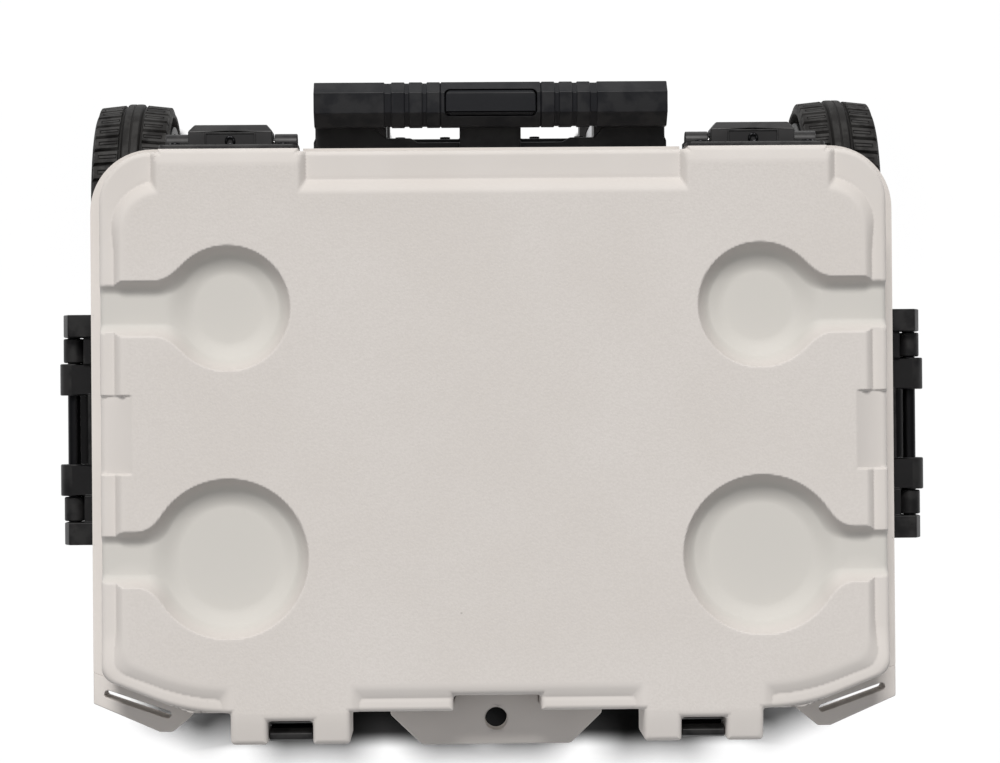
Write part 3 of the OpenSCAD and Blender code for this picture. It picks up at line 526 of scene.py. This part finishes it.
def highDistance(x, y):
    # inside the raised part: the plateau with the hinge and latch blocks
    side, rear, front = lid["plateauIn"]
    flat = outlineDistance(x, y, lid["half"] - side, lid["rear"] - rear, lid["front"] - front,
                           lid["plateauCornerR"], lid["plateauChamfer"])
    low, high, back = lid["hingeBlock"]
    hinge = boxDistance(x, y, low - 1 * mm, high + 1 * mm, 0.1, back + 0.05)
    low, high, reach = lid["latchBlock"]
    latch = boxDistance(x, y, low - 1 * mm, high + 1 * mm, -reach - 0.05, -0.1)
    return smoothMax(smoothMax(flat, hinge * 1.6, 3 * mm), latch * 1.3, 5 * mm)


def cupDistance(x, y):
    # inside the cup holders and their channels, with flared mouths; also how much of it is cup
    best, share = None, None
    for cx, cy, radius in lid["cups"]:
        away = np.hypot(x - cx, y - cy)
        cup = radius - away
        channel = lid["channelHalf"] - np.where(x > cx, np.abs(y - cy), away)
        both = smoothMax(cup, channel, lid["flare"] * 2)
        part = 1 - smoothStep(away, radius - 24 * mm, radius + 2 * mm)
        share = part if best is None else np.maximum(share, part)
        best = both if best is None else np.maximum(best, both)
    return best, share


def edgeDistance(x, y):
    flat = outlineDistance(x, y, lid["half"], lid["rear"], lid["front"], lid["cornerR"], lid["chamfer"])
    low, high, back = lid["hingeBlock"]
    hinge = boxDistance(x, y, low, high, 0.1, back, 0.5 * mm)
    low, high, reach = lid["latchBlock"]
    latch = boxDistance(x, y, low, high, -reach, -0.1, 2.5 * mm)
    inside = np.maximum(np.maximum(flat, hinge), latch)
    low, high, back = lid["latchNotch"]
    notch = boxDistance(x, y, low, high, -0.4, -back, 0.5 * mm)
    half, back = lid["lockNotch"]
    lock = boxDistance(x, y, -1, half, -0.4, -back, 0.5 * mm)
    return np.minimum(inside, np.minimum(-notch, -lock))


def lidHeight(px, py):
    x, y = np.abs(px), py
    drop = lid["borderDrop"] - lid["frontLift"] * smoothStep(-y, *lid["frontLiftOver"])
    top, border = lid["topZ"], lid["topZ"] - drop
    high = highDistance(x, y)
    # the step: a tight crease at its foot and a softer shoulder, and wider towards the front and rear
    run = lid["stepRun"] + lid["stepWider"] * smoothStep(np.abs(y + 0.03), 0.15, 0.2)
    t = np.clip((high + run) / (1.45 * run), 0, 1)
    raised = (1 - (1 - t) ** 2.2) * 0.6 + 0.4 * t * t * (3 - 2 * t)
    z = border + (top - border) * raised
    crease = lid["crease"]
    z = z - crease["deep"] * np.exp(-((high + run + crease["away"]) / crease["wide"]) ** 2)
    # the blocks slope down to their free ends
    onBlock = smoothStep(high, -4 * mm, 2 * mm)
    back, slope = lid["hingeBlock"][2], lid["hingeSlope"]
    hingeDrop = slope["drop"] * np.clip((y - (back - slope["run"])) / slope["run"], 0, 1)
    z = z - np.where(x < lid["hingeBlock"][1] + 2 * mm, hingeDrop, 0) * onBlock
    reach, slope = lid["latchBlock"][2], lid["latchSlope"]
    latchDrop = slope["drop"] * np.clip((-y - (reach - slope["run"])) / slope["run"], 0, 1) ** 1.3
    z = z - latchDrop * onBlock
    # side ramps, each a shallow scoop that runs out to the edge
    y0, y1, reachIn = lid["ramp"]
    soft = lid["rampSoft"]
    along = smoothStep(y, y0 - soft, y0 + soft) * (1 - smoothStep(y, y1 - soft, y1 + soft))
    across = np.clip((x - (lid["half"] - reachIn)) / reachIn, 0, 1)
    scoop = top - lid["rampDrop"] * (1 - (1 - across) ** 1.7)
    z = np.where(across > 0, z + (np.minimum(z, scoop) - z) * along, z)
    # cups and channels
    cup, share = cupDistance(x, y)
    deep = lid["channelDepth"] + (lid["cupDepth"] - lid["channelDepth"]) * share
    t = np.clip((cup + 1.5 * mm) / (lid["cupWall"] + 3 * mm), 0, 1)
    wall = (1 - (1 - t) ** 1.9) * (1 - np.exp(-t / 0.1))
    z = smoothMin(z, top + 0.3 * mm - (deep + 0.3 * mm) * wall, 1.2 * mm)
    # the round outer edge
    radius = lid["edgeR"]
    beyond = np.clip(radius - np.clip(edgeDistance(x, y), 0, None), 0, radius)
    return z - (radius - np.sqrt(np.clip(radius * radius - beyond * beyond, 0, None)))


# levels are steps of the grid in multiples of fine, each with the bend that calls for it
lidMesh = dict(
    arcStep=1.6 * mm, runStep=2.5 * mm, fine=1.5 * mm, levels=((1, 0.010), (2, 0.0035), (4, 0.0012), (8, 0.0)),
    ringAngles=(20, 36, 50, 64, 78, 90), gap=0.62 * mm, probe=0.12 * mm, rimLift=0.25,
)


def roundedPath(corners):
    # a closed outline from (x, y, radius) corners, with arcs put in and long runs divided
    points = []
    count = len(corners)
    for i, (x, y, radius) in enumerate(corners):
        here = np.array((x, y))
        before = np.array(corners[i - 1][:2]) - here
        after = np.array(corners[(i + 1) % count][:2]) - here
        a, b = before / np.linalg.norm(before), after / np.linalg.norm(after)
        half = math.acos(np.clip(a @ b, -1, 1)) / 2
        cut = radius / math.tan(half)
        if radius <= 0:
            points.append(here)
            continue
        middle = here + (a + b) / np.linalg.norm(a + b) * radius / math.sin(half)
        start, end = here + a * cut - middle, here + b * cut - middle
        turn = math.atan2(start[0] * end[1] - start[1] * end[0], start @ end)
        pieces = max(3, int(abs(turn) * radius / lidMesh["arcStep"]))
        for k in range(pieces + 1):
            t = turn * k / pieces
            c, s = math.cos(t), math.sin(t)
            points.append(middle + np.array((start[0] * c - start[1] * s, start[0] * s + start[1] * c)))
    dense = []
    for i, p in enumerate(points):
        q = points[(i + 1) % len(points)]
        pieces = max(1, int(np.linalg.norm(q - p) / lidMesh["runStep"]))
        dense += [p + (q - p) * k / pieces for k in range(pieces)]
    return np.array(dense)


def lidCorners():
    half, rear, front = lid["half"], lid["rear"], lid["front"]
    cut = lid["chamfer"]
    b0, b1, back = lid["hingeBlock"]
    l0, l1, reach = lid["latchBlock"]
    n0, n1, deep = lid["latchNotch"]
    lock, lockBack = lid["lockNotch"]
    right = [
        (lock, -lockBack, 4 * mm), (lock, -front, 1.5 * mm), (l0, -front, 2.5 * mm), (l0, -reach, 4 * mm),
        (n0, -reach, 3 * mm), (n0, -deep, 3.5 * mm), (n1, -deep, 3.5 * mm), (n1, -reach, 3 * mm),
        (l1, -reach, 4 * mm), (l1, -front, 2.5 * mm), (half - cut[0], -front, 14 * mm),
        (half, -front + cut[1], 14 * mm), (half, rear, lid["cornerR"]), (b1, rear, 0.8 * mm),
        (b1, back, 0.8 * mm), (b0, back, 0.8 * mm), (b0, rear, 0.8 * mm),
    ]
    return right + [(-x, y, r) for x, y, r in reversed(right)]


def insidePolygon(points, outline):
    x, y = points[:, 0], points[:, 1]
    inside = np.zeros(len(points), bool)
    for (x0, y0), (x1, y1) in zip(outline, np.roll(outline, -1, 0)):
        crosses = (y0 > y) != (y1 > y)
        if crosses.any():
            inside ^= crosses & (x < (x1 - x0) * (y - y0) / (y1 - y0 + 1e-12) + x0)
    return inside


def lidPoints(outline):
    # fine points where the surface bends, coarse ones where it is flat
    x0, y0 = outline.min(0)
    x1, y1 = outline.max(0)
    kept = []
    for level, threshold in lidMesh["levels"]:
        pitch = lidMesh["fine"] * level
        columns = np.arange(x0, x1 + pitch, pitch)
        rows = np.arange(y0, y1 + pitch, pitch)
        gridX, gridY = np.meshgrid(columns, rows)
        gridX = gridX + (np.arange(len(rows))[:, None] % 2) * pitch / 2
        x, y = gridX.ravel(), gridY.ravel()
        z = lidHeight(x, y)
        bend = np.zeros(len(x))
        slant = pitch * 0.7
        for dx, dy in ((pitch, 0), (0, pitch), (slant, slant), (slant, -slant)):
            bothSides = lidHeight(x + dx, y + dy) + lidHeight(x - dx, y - dy)
            bend = np.maximum(bend, np.abs(bothSides - 2 * z) / mm)
        kept.append(np.stack([x, y], 1)[bend > threshold * level ** 2 * 4])
    points = np.concatenate(kept)
    return points[insidePolygon(points, outline)]


def ringsInside(outline):
    # rows of points just inside the outline, where the edge is round
    ahead = np.roll(outline, -1, 0) - np.roll(outline, 1, 0)
    normal = np.stack([-ahead[:, 1], ahead[:, 0]], 1) / np.linalg.norm(ahead, axis=1)[:, None]
    rings = []
    for angle in lidMesh["ringAngles"]:
        away = lid["edgeR"] * (1 - math.cos(math.radians(angle)))
        ring = outline + normal * away
        rings.append(ring[insidePolygon(ring, outline)])
    return np.concatenate(rings), normal


def thinOut(points, fixed, gap):
    # drops points that are closer than gap to a fixed or an earlier one
    taken = {}

    def cell(p):
        return int(math.floor(p[0] / gap)), int(math.floor(p[1] / gap))

    def near(p):
        a, b = cell(p)
        for i in (a - 1, a, a + 1):
            for j in (b - 1, b, b + 1):
                for q in taken.get((i, j), ()):
                    if (p[0] - q[0]) ** 2 + (p[1] - q[1]) ** 2 < gap * gap:
                        return True
        return False

    for p in fixed:
        taken.setdefault(cell(p), []).append(tuple(p))
    kept = []
    for p in points:
        p = tuple(p)
        if not near(p):
            taken.setdefault(cell(p), []).append(p)
            kept.append(p)
    return kept


def lidSurface():
    # the top face: its points, faces and normals, the indices of its rim, and the outline with its
    # inward normals
    outline = roundedPath(lidCorners())
    area = np.sum(outline[:, 0] * np.roll(outline[:, 1], -1) - outline[:, 1] * np.roll(outline[:, 0], -1))
    if area < 0:
        outline = outline[::-1].copy()
    rings, inward = ringsInside(outline)
    inner = thinOut(np.concatenate([rings, lidPoints(outline)]), outline, lidMesh["gap"])
    rim = len(outline)
    flat = [Vector(p) for p in outline] + [Vector(p) for p in inner]
    edges = [(i, (i + 1) % rim) for i in range(rim)]
    coords, _, faces, origin, _, _ = delaunay_2d_cdt(flat, edges, [list(range(rim))], 1, 1e-7)
    xy = np.array([(v.x, v.y) for v in coords])
    x, y = xy[:, 0], xy[:, 1]
    order = {old: new for new, sources in enumerate(origin) for old in sources}
    ring = [order[i] for i in range(rim)]
    z = lidHeight(x, y)
    nearRim = outline + inward * 0.02 * mm
    z[ring] = lidHeight(nearRim[:, 0], nearRim[:, 1]) - 0.2 * mm
    step = lidMesh["probe"]
    slopeX = (lidHeight(x + step, y) - lidHeight(x - step, y)) / (2 * step)
    slopeY = (lidHeight(x, y + step) - lidHeight(x, y - step)) / (2 * step)
    normals = np.column_stack([-slopeX, -slopeY, np.ones(len(xy))])
    normals[ring] = np.column_stack([-inward, np.full(rim, lidMesh["rimLift"])])
    return np.column_stack([xy, z]), [tuple(f) for f in faces], normals, ring, outline, inward


def addLidWalls(verts, faces, normals, ring, outline, inward):
    # outer wall, foot, inner wall and ceiling of the hollow; kinds says how each face is shaded
    rim = len(outline)
    wall = lid["wall"]
    kinds = ["smooth"] * len(faces)
    previous = ring
    for inset, height in ((0, lid["lowZ"] + 1.0 * mm), (1.0 * mm, lid["lowZ"]), (wall, lid["lowZ"]),
                          (wall, lid["hollowZ"])):
        start = len(verts)
        row = np.column_stack([outline + inward * inset, np.full(rim, height)])
        verts = np.concatenate([verts, row])
        normals = np.concatenate([normals, np.column_stack([-inward, np.zeros(rim)])])
        for i in range(rim):
            j = (i + 1) % rim
            faces.append((previous[j], previous[i], start + i, start + j))
            kinds.append("wall" if previous is ring else "plain")
        previous = list(range(start, start + rim))
    faces.append(tuple(previous))
    kinds.append("plain")
    return verts, faces, normals, kinds


def lidMasks(verts, topCount):
    # where the top is pebbled, and where it is a cup, which gets painted shade
    x, y = np.abs(verts[:, 0]), verts[:, 1]
    cup, _ = cupDistance(x, y)
    grain = smoothStep(highDistance(x, y), 1 * mm, 6 * mm) * (1 - smoothStep(cup, -4 * mm, 1 * mm))
    y0, y1, reachIn = lid["ramp"]
    grain *= 1 - (x > lid["half"] - reachIn) * (y > y0) * (y < y1)
    grain *= 1 - smoothStep(y, lid["hingeBlock"][2] - 15 * mm, lid["hingeBlock"][2] - 11 * mm)
    grain *= 1 - smoothStep(-y, lid["latchBlock"][2] - 28 * mm, lid["latchBlock"][2] - 22 * mm)
    cupShadeAmount = smoothStep(cup, 0.5 * mm, 9 * mm)
    grain[topCount:] = 0
    cupShadeAmount[topCount:] = 0
    return dict(grainMask=grain, cupMask=cupShadeAmount)


def makeLidTop():
    surface = lidSurface()
    verts, faces, normals, kinds = addLidWalls(*surface)
    mesh = bpy.data.meshes.new("lid_top_shape")
    mesh.from_pydata([tuple(v) for v in verts], [], faces)
    mesh.update()
    for polygon in mesh.polygons:
        polygon.use_smooth = True
    for name, values in lidMasks(verts, len(surface[0])).items():
        mesh.attributes.new(name, "FLOAT", "POINT").data.foreach_set("value", values.astype(np.float32))
    unit = normals / np.linalg.norm(normals, axis=1)[:, None]
    loopNormals = []
    for polygon, kind in zip(mesh.polygons, kinds):
        for v in polygon.vertices:
            loopNormals.append(tuple(polygon.normal) if kind == "plain" else tuple(unit[v]))
    mesh.normals_split_custom_set(loopNormals)
    showMesh("lid_top_shape", mesh, "lid_top", "creamGrained")
    print("lid top:", len(mesh.polygons), "faces")


makeLidTop()

# ---------- wheels

# crown and blockGap are shares of the width and of the pitch of the blocks; stagger is in degrees
wheel = dict(
    sides=200, sharp=38, blocks=40, crown=0.19, blockGap=0.09, stagger=4.5, tread=3.6 * mm, treadSunk=4.4 * mm,
    shoulderDrop=2.6 * mm, lip=5 * mm, recess=13 * mm, rubberDeep=22 * mm,
)


def latheX(name, centreY, centreZ, profile):
    # turns (radius, x) points about an axis along X; the profile is closed
    form = bmesh.new()
    rows = []
    sides = wheel["sides"]
    for k in range(sides):
        a = 2 * math.pi * k / sides
        rows.append([form.verts.new((x, centreY + r * math.cos(a), centreZ + r * math.sin(a)))
                     for r, x in profile])
    for k in range(sides):
        one, two = rows[k], rows[(k + 1) % sides]
        for i in range(len(profile)):
            j = (i + 1) % len(profile)
            form.faces.new((one[i], one[j], two[j], two[i]))
    bmesh.ops.recalc_face_normals(form, faces=form.faces)
    for face in form.faces:
        face.smooth = True
    mesh = bpy.data.meshes.new(name)
    form.to_mesh(mesh)
    form.free()
    mesh.set_sharp_from_angle(angle=math.radians(wheel["sharp"]))
    return mesh


def treadBlock(width, length, height, drop):
    # one block of tread with sloping sides, a shallow U groove in its top and a lower outer end
    def shrunk(ring, inset):
        return [(x - math.copysign(inset, x), y - math.copysign(inset, y)) for x, y in ring]

    form = bmesh.new()
    halfW, halfL = width / 2, length / 2
    base = [(-halfW, -halfL), (halfW, -halfL), (halfW, halfL), (-halfW, halfL)]
    top = shrunk(base, height * 0.35)
    groove = shrunk(top, length * 0.26)
    groove[1] = (top[1][0] - 0.5 * mm, groove[1][1])
    groove[2] = (top[2][0] - 0.5 * mm, groove[2][1])
    inner = shrunk(groove, 0.9 * mm)
    grooveFoot = height - 1.0 * mm
    rings = [
        [form.verts.new((x, y, z - drop * (halfW - x) / width)) for x, y in ring]
        for ring, z in ((base, -1.5 * mm), (top, height), (groove, height), (groove, grooveFoot),
                        (inner, grooveFoot), (inner, height))
    ]
    for low, high in zip(rings, rings[1:]):
        for i in range(4):
            j = (i + 1) % 4
            form.faces.new((low[i], low[j], high[j], high[i]))
    form.faces.new(rings[-1])
    form.faces.new(rings[0][::-1])
    bmesh.ops.recalc_face_normals(form, faces=form.faces)
    mesh = bpy.data.meshes.new("treadBlock")
    form.to_mesh(mesh)
    form.free()
    return bpy.data.objects.new("treadBlock", mesh)


def treadTree():
    # sets copies of a block around a circle, standing on its outside
    tree = bpy.data.node_groups.new("treadRing", "GeometryNodeTree")
    for label, kind in (("Block", "Object"), ("Count", "Int"), ("Radius", "Float"), ("Rubber", "Material")):
        tree.interface.new_socket(label, in_out="INPUT", socket_type="NodeSocket" + kind)
    tree.interface.new_socket("Geometry", in_out="OUTPUT", socket_type="NodeSocketGeometry")
    given = tree.nodes.new("NodeGroupInput").outputs
    out = tree.nodes.new("NodeGroupOutput").inputs
    circle = addNode(tree, "GeometryNodeMeshCircle", Vertices=given["Count"], Radius=given["Radius"])
    index = addNode(tree, "GeometryNodeInputIndex").outputs[0]
    share = mathOf(tree, "DIVIDE", index, given["Count"])
    around = addNode(tree, "ShaderNodeCombineXYZ", Z=mathOf(tree, "MULTIPLY", share, 2 * math.pi)).outputs[0]
    block = addNode(tree, "GeometryNodeObjectInfo", Object=given["Block"]).outputs["Geometry"]
    placed = addNode(tree, "GeometryNodeInstanceOnPoints", Points=circle.outputs["Mesh"], Instance=block,
                     Rotation=around)
    real = addNode(tree, "GeometryNodeRealizeInstances", Geometry=placed.outputs["Instances"])
    done = addNode(tree, "GeometryNodeSetMaterial", Geometry=real.outputs[0], Material=given["Rubber"])
    tree.links.new(done.outputs[0], out["Geometry"])
    return tree


def socketNamed(tree, label):
    return next(item.identifier for item in tree.interface.items_tree if item.name == label)


def ringOfBlocks(tree, block, count, radius):
    holder = bpy.data.objects.new("treadHolder", bpy.data.meshes.new("treadHolder"))
    bpy.context.scene.collection.objects.link(holder)
    bpy.context.scene.collection.objects.link(block)
    modifier = holder.modifiers.new("ring", "NODES")
    modifier.node_group = tree
    for label, value in (("Block", block), ("Count", count), ("Radius", radius),
                         ("Rubber", materials["tyreRubber"])):
        modifier[socketNamed(tree, label)] = value
    bpy.context.view_layer.update()
    evaluated = holder.evaluated_get(bpy.context.evaluated_depsgraph_get())
    mesh = bpy.data.meshes.new_from_object(evaluated)
    bpy.data.objects.remove(holder)
    bpy.data.objects.remove(block)
    return mesh


def makeTyre(side, tree):
    node = "tyre_left" if side < 0 else "tyre_right"
    low, high = boxOf(node)
    x0, x1 = low[0], high[0]
    cy, cz = (low[1] + high[1]) / 2, (low[2] + high[2]) / 2
    radius = (high[2] - low[2]) / 2
    width = x1 - x0
    mid = (x0 + x1) / 2
    crown = wheel["crown"] * width / 2
    base = radius - wheel["treadSunk"]
    inner = radius - wheel["rubberDeep"]
    drop, lip, recess = wheel["shoulderDrop"], wheel["lip"], wheel["recess"]
    # half of the section, from the middle of the tread to the rim, as radius and distance from the middle
    tread = [
        (radius - 0.7 * mm, 0.5 * mm), (radius, 1.0 * mm), (radius, crown - 1.6 * mm),
        (radius - 0.3 * mm, crown), (base + 0.6 * mm, crown + 2.2 * mm), (base - drop, width / 2 - 4 * mm),
        (base - drop - 1.4 * mm, width / 2 - 1.2 * mm), (base - drop - 3.5 * mm, width / 2),
    ]
    hollow = [
        (base - drop - lip, width / 2), (base - drop - lip - 1 * mm, width / 2 - 1 * mm),
        (base - drop - lip - 2 * mm, width / 2 - recess), (inner, width / 2 - recess),
    ]
    wall = [
        (base - drop - 8 * mm, width / 2), (base - drop - 9 * mm, width / 2 - 0.8 * mm),
        (inner + 2 * mm, width / 2 - 0.8 * mm), (inner, width / 2 - 0.2 * mm),
    ]
    outerHalf = [(r, mid + side * x) for r, x in tread + wall]
    innerHalf = [(r, mid - side * x) for r, x in tread + hollow]
    carcass = outerHalf[::-1] + innerHalf
    body = latheX(node, cy, cz, carcass)
    form = bmesh.new()
    form.from_mesh(body)
    pitch = 2 * math.pi * base / wheel["blocks"]
    for flank in (-1, 1):
        inEnd, outEnd = mid + flank * (crown + 3.2 * mm), (x1 if flank > 0 else x0) - flank * 1.5 * mm
        wide = abs(outEnd - inEnd)
        block = treadBlock(wide, pitch * (1 - wheel["blockGap"]), wheel["tread"], drop)
        # the block's x runs along the axle and its z away from it
        turn = Matrix(((0, 0, 1, 0), (0, 1, 0, 0), (-flank, 0, 0, 0), (0, 0, 0, 1)))
        block.data.transform(turn)
        ring = ringOfBlocks(tree, block, wheel["blocks"], base - 0.4 * mm)
        if turn.determinant() < 0:
            ring.flip_normals()
        ring.transform(Matrix.Rotation(math.radians(wheel["stagger"] * (flank > 0)), 4, "Z"))
        # lay the ring's axis along X
        ring.transform(Matrix(((0, 0, 1, (inEnd + outEnd) / 2), (1, 0, 0, cy), (0, 1, 0, cz), (0, 0, 0, 1))))
        form.from_mesh(ring)
    mesh = bpy.data.meshes.new(node + "_shape")
    form.to_mesh(mesh)
    form.free()
    return showMesh(node + "_shape", mesh, node)


treadRing = treadTree()
for side in (-1, 1):
    makeTyre(side, treadRing)
print("wheels: tyres with tread")

# ---------- hinges

hingePanel = dict(
    y=0.2265, z=0.463, width=44 * mm, depth=13 * mm, rise=1.0 * mm, corner=1.4 * mm, line=1.3 * mm, dip=0.8 * mm)
# the screw on top of each leaf, and how far it moves towards the lid and down
topScrew = dict(x=0.224, reach=6 * mm, back=5.5 * mm, sink=0.9 * mm)


def plateWithRim(x, y, z, width, depth, rise, corner, line, dip):
    # a low plate with a sunk middle, so that a thin rim stands around it
    def ring(inset, height):
        a, b, r = width / 2 - inset, depth / 2 - inset, max(corner - inset, 0.3 * mm)
        points = []
        for cx, cy, start in ((a - r, b - r, 0), (r - a, b - r, 90), (r - a, r - b, 180), (a - r, r - b, 270)):
            for k in range(5):
                t = math.radians(start + 22.5 * k)
                points.append((x + cx + r * math.cos(t), y + cy + r * math.sin(t), z + height))
        return points

    rows = [ring(0, -0.4 * mm), ring(0, rise * 0.6), ring(0.3 * mm, rise), ring(line, rise),
            ring(line + 0.4 * mm, rise - dip)]
    form = bmesh.new()
    made = [[form.verts.new(p) for p in row] for row in rows]
    count = len(made[0])
    for low, high in zip(made, made[1:]):
        for i in range(count):
            j = (i + 1) % count
            form.faces.new((low[i], low[j], high[j], high[i]))
    form.faces.new(made[-1])
    form.faces.new(made[0][::-1])
    bmesh.ops.recalc_face_normals(form, faces=form.faces)
    return form


def addHingePanels():
    for side in ("left", "right"):
        node = "hinge_leaf_" + side
        low, high = boxOf(node)
        form = plateWithRim((low[0] + high[0]) / 2, **hingePanel)
        mesh = bpy.data.meshes.new("hinge_panel_" + side)
        form.to_mesh(mesh)
        form.free()
        panel = bpy.data.objects.new("hinge_panel_" + side, mesh)
        bpy.context.scene.collection.objects.link(panel)
        mesh.materials.append(materials["hingeBlack"])
        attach(panel, bodyOf[node])


def moveLeafScrews():
    # the screw on top of each hinge stands in the middle of its panel
    mesh = mergedCopy("leaf_screws")
    for vertex in mesh.vertices:
        if abs(abs(vertex.co.x) - topScrew["x"]) < topScrew["reach"]:
            vertex.co.y -= topScrew["back"]
            vertex.co.z -= topScrew["sink"]
    showMesh("leaf_screws_shape", mesh, "leaf_screws", "blackSteel")


addHingePanels()
moveLeafScrews()
print("hinges: panels and top screws")

# ---------- the end

bpy.context.view_layer.update()
